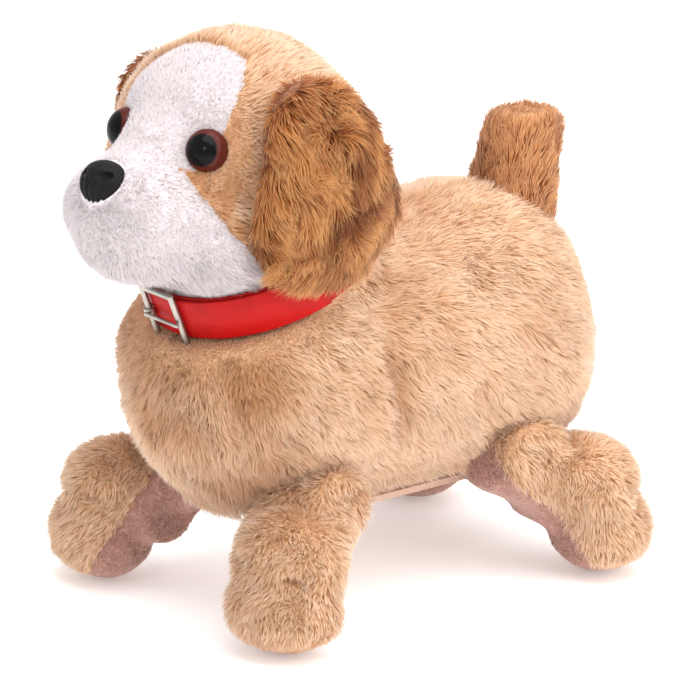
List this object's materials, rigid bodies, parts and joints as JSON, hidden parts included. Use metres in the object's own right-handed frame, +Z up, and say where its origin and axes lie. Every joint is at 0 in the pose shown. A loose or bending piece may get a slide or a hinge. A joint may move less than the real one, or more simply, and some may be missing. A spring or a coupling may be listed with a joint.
{
  "type": "interactive plush pet",
  "caption": "Battery-powered walking plush puppy: padded pile body, floppy ears, short tail, strap collar and leg frames swung by a motor-driven crank and link bars.",
  "frame": {"origin": "on the floor under the middle of the bounding box", "axes": "+Z up, the puppy faces -Y, its left side is +X"},
  "size_m": [0.1194, 0.1777, 0.17],
  "materials": {
    "tan_plush": "short dense pile",
    "white_plush": "very short pile",
    "brown_shag": "long shaggy pile",
    "pink_velour": "short nap",
    "padding": "loose fibre",
    "red_strap": "smooth coated strap",
    "buckle_steel": "nickel plated wire",
    "eye_plastic": "polished",
    "nose_plastic": "fine grained",
    "washer_plastic": "moulded",
    "chassis_plastic": "moulded",
    "frame_plastic": "moulded",
    "door_plastic": "fine grained",
    "switch_plastic": "moulded",
    "gear_plastic": "moulded acetal",
    "steel": "plated",
    "motor_steel": "drawn can",
    "brass": "machined",
    "cell_wrap": "printed sleeve",
    "board": "solder mask",
    "chip": "moulded",
    "cone_paper": "pressed paper",
    "magnet": "sintered"
  },
  "bodies": {
    "body": {"body_skin_left": "tan_plush", "body_skin_right": "tan_plush", "belly_panel": "pink_velour", "body_padding": "padding", "chassis_left": "chassis_plastic", "chassis_right": "chassis_plastic", "chassis_screws": "steel", "neck_post": "chassis_plastic", "battery_box": "door_plastic", "battery_door": "door_plastic", "battery_door_screw": "steel", "battery_cells": "cell_wrap", "battery_contacts": "steel", "switch_case": "switch_plastic", "circuit_board": "board", "board_parts": "chip", "speaker_basket": "steel", "speaker_cone": "cone_paper", "speaker_magnet": "magnet", "motor_can": "motor_steel", "motor_end_cap": "gear_plastic", "gear_pins": "steel", "leg_axles": "steel", "axle_caps": "frame_plastic", "head_skin_left": "tan_plush", "head_skin_right": "tan_plush", "face_panel": "white_plush", "head_padding": "padding", "left_eye": "eye_plastic", "right_eye": "eye_plastic", "nose": "nose_plastic", "safety_washers": "washer_plastic", "collar_strap": "red_strap", "buckle_frame": "buckle_steel"},
    "crank": {"crank_axle": "steel", "crank_discs": "frame_plastic", "output_gear": "gear_plastic"},
    "second_gear": {"second_reduction_gear": "gear_plastic"},
    "first_gear": {"first_reduction_gear": "gear_plastic"},
    "rotor": {"motor_rotor": "steel", "motor_pinion": "brass"},
    "switch_knob": {"switch_knob": "switch_plastic"},
    "left_ear": {"left_ear": "brown_shag"},
    "right_ear": {"right_ear": "brown_shag"},
    "tail": {"tail": "brown_shag"},
    "buckle_prong": {"buckle_prong": "buckle_steel"},
    "left_link": {"left_link": "frame_plastic"},
    "right_link": {"right_link": "frame_plastic"},
    "front_left_leg": {"front_left_leg_frame": "frame_plastic", "front_left_leg_outer": "tan_plush", "front_left_leg_inner": "pink_velour"},
    "front_right_leg": {"front_right_leg_frame": "frame_plastic", "front_right_leg_outer": "tan_plush", "front_right_leg_inner": "pink_velour"},
    "hind_left_leg": {"hind_left_leg_frame": "frame_plastic", "hind_left_leg_outer": "tan_plush", "hind_left_leg_inner": "pink_velour"},
    "hind_right_leg": {"hind_right_leg_frame": "frame_plastic", "hind_right_leg_outer": "tan_plush", "hind_right_leg_inner": "pink_velour"}
  },
  "joints": [
    {"name": "hind_left_leg_swing", "type": "hinge", "parent": "body", "child": "hind_left_leg", "pos_m": [0, 0.04537, 0.05], "axis": [1, 0, 0], "range_deg": [-12, 12]},
    {"name": "hind_right_leg_swing", "type": "hinge", "parent": "body", "child": "hind_right_leg", "pos_m": [0, 0.04537, 0.05], "axis": [1, 0, 0], "range_deg": [-12, 12]},
    {"name": "front_left_leg_swing", "type": "hinge", "parent": "body", "child": "front_left_leg", "pos_m": [0, -0.02263, 0.05], "axis": [1, 0, 0], "range_deg": [-12, 12]},
    {"name": "front_right_leg_swing", "type": "hinge", "parent": "body", "child": "front_right_leg", "pos_m": [0, -0.02263, 0.05], "axis": [1, 0, 0], "range_deg": [-12, 12]},
    {"name": "left_link_pivot", "type": "hinge", "parent": "hind_left_leg", "child": "left_link", "pos_m": [0, 0.04537, 0.062], "axis": [1, 0, 0], "range_deg": [-12, 12]},
    {"name": "right_link_pivot", "type": "hinge", "parent": "hind_right_leg", "child": "right_link", "pos_m": [0, 0.04537, 0.062], "axis": [1, 0, 0], "range_deg": [-12, 12]},
    {"name": "crank_spin", "type": "hinge", "parent": "body", "child": "crank", "pos_m": [0, 0.01937, 0.062], "axis": [1, 0, 0], "continuous": true},
    {"name": "second_gear_spin", "type": "hinge", "parent": "body", "child": "second_gear", "pos_m": [0, 0.01353, 0.07451], "axis": [1, 0, 0], "continuous": true},
    {"name": "first_gear_spin", "type": "hinge", "parent": "body", "child": "first_gear", "pos_m": [0, 0.00112, 0.07232], "axis": [1, 0, 0], "continuous": true},
    {"name": "motor_spin", "type": "hinge", "parent": "body", "child": "rotor", "pos_m": [0, -0.01015, 0.06821], "axis": [1, 0, 0], "continuous": true},
    {"name": "switch_slide", "type": "slide", "parent": "body", "child": "switch_knob", "axis": [0, 1, 0], "range_m": [0, 0.003]},
    {"name": "left_ear_flop", "type": "hinge", "parent": "body", "child": "left_ear", "pos_m": [0.01247, -0.02656, 0.16343], "axis": [-0.0808, 0.9967, -0.0013], "range_deg": [-40, 0]},
    {"name": "right_ear_flop", "type": "hinge", "parent": "body", "child": "right_ear", "pos_m": [-0.01573, -0.0118, 0.16053], "axis": [-0.0808, 0.9967, -0.0013], "range_deg": [0, 40]},
    {"name": "tail_wag", "type": "hinge", "parent": "body", "child": "tail", "pos_m": [0, 0.06936, 0.097], "axis": [0, 1, 0], "range_deg": [-15, 15], "stiffness_Nm_per_rad": 0.05},
    {"name": "buckle_prong_pivot", "type": "hinge", "parent": "body", "child": "buckle_prong", "pos_m": [-0.0066, -0.05454, 0.08969], "axis": [0, 0.375, -0.927], "range_deg": [0, 70]}
  ],
  "couplings": [
    {"joint": "hind_right_leg_swing", "follows": "hind_left_leg_swing", "ratio": -1},
    {"joint": "front_left_leg_swing", "follows": "hind_left_leg_swing", "ratio": 1},
    {"joint": "front_right_leg_swing", "follows": "hind_left_leg_swing", "ratio": -1},
    {"joint": "left_link_pivot", "follows": "hind_left_leg_swing", "ratio": -1},
    {"joint": "right_link_pivot", "follows": "hind_left_leg_swing", "ratio": 1},
    {"joint": "first_gear_spin", "follows": "motor_spin", "ratio": -0.25},
    {"joint": "second_gear_spin", "follows": "motor_spin", "ratio": 0.078125},
    {"joint": "crank_spin", "follows": "motor_spin", "ratio": -0.021701}
  ]
}
